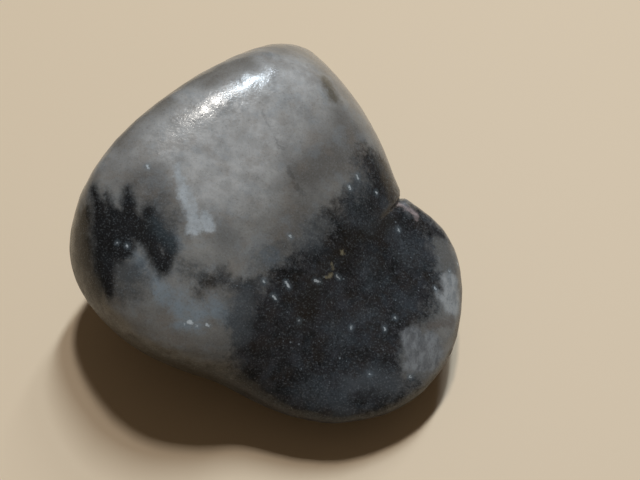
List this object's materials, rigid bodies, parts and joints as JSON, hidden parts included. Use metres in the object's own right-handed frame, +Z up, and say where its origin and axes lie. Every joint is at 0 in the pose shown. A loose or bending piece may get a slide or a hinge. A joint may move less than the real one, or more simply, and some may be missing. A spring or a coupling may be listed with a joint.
{
  "type": "tumbled stone",
  "caption": "Polished two-lobed pebble of grey quartz and black carbon-rich mineral, with a crease between the lobes; it lies on a flat resting face.",
  "frame": {"origin": "middle of the bounding box in plan, on the resting face", "axes": "+Z up; +X along the longest extent, from the large lobe's hanging end to the small lobe; -Y is the side where the crease runs out"},
  "size_m": [0.029, 0.0286, 0.0167],
  "materials": {
    "polished_stone": "high polish, translucent grey quartz with black patches"
  },
  "bodies": {
    "root": {"chiastolite_stone": "polished_stone"}
  },
  "joints": []
}
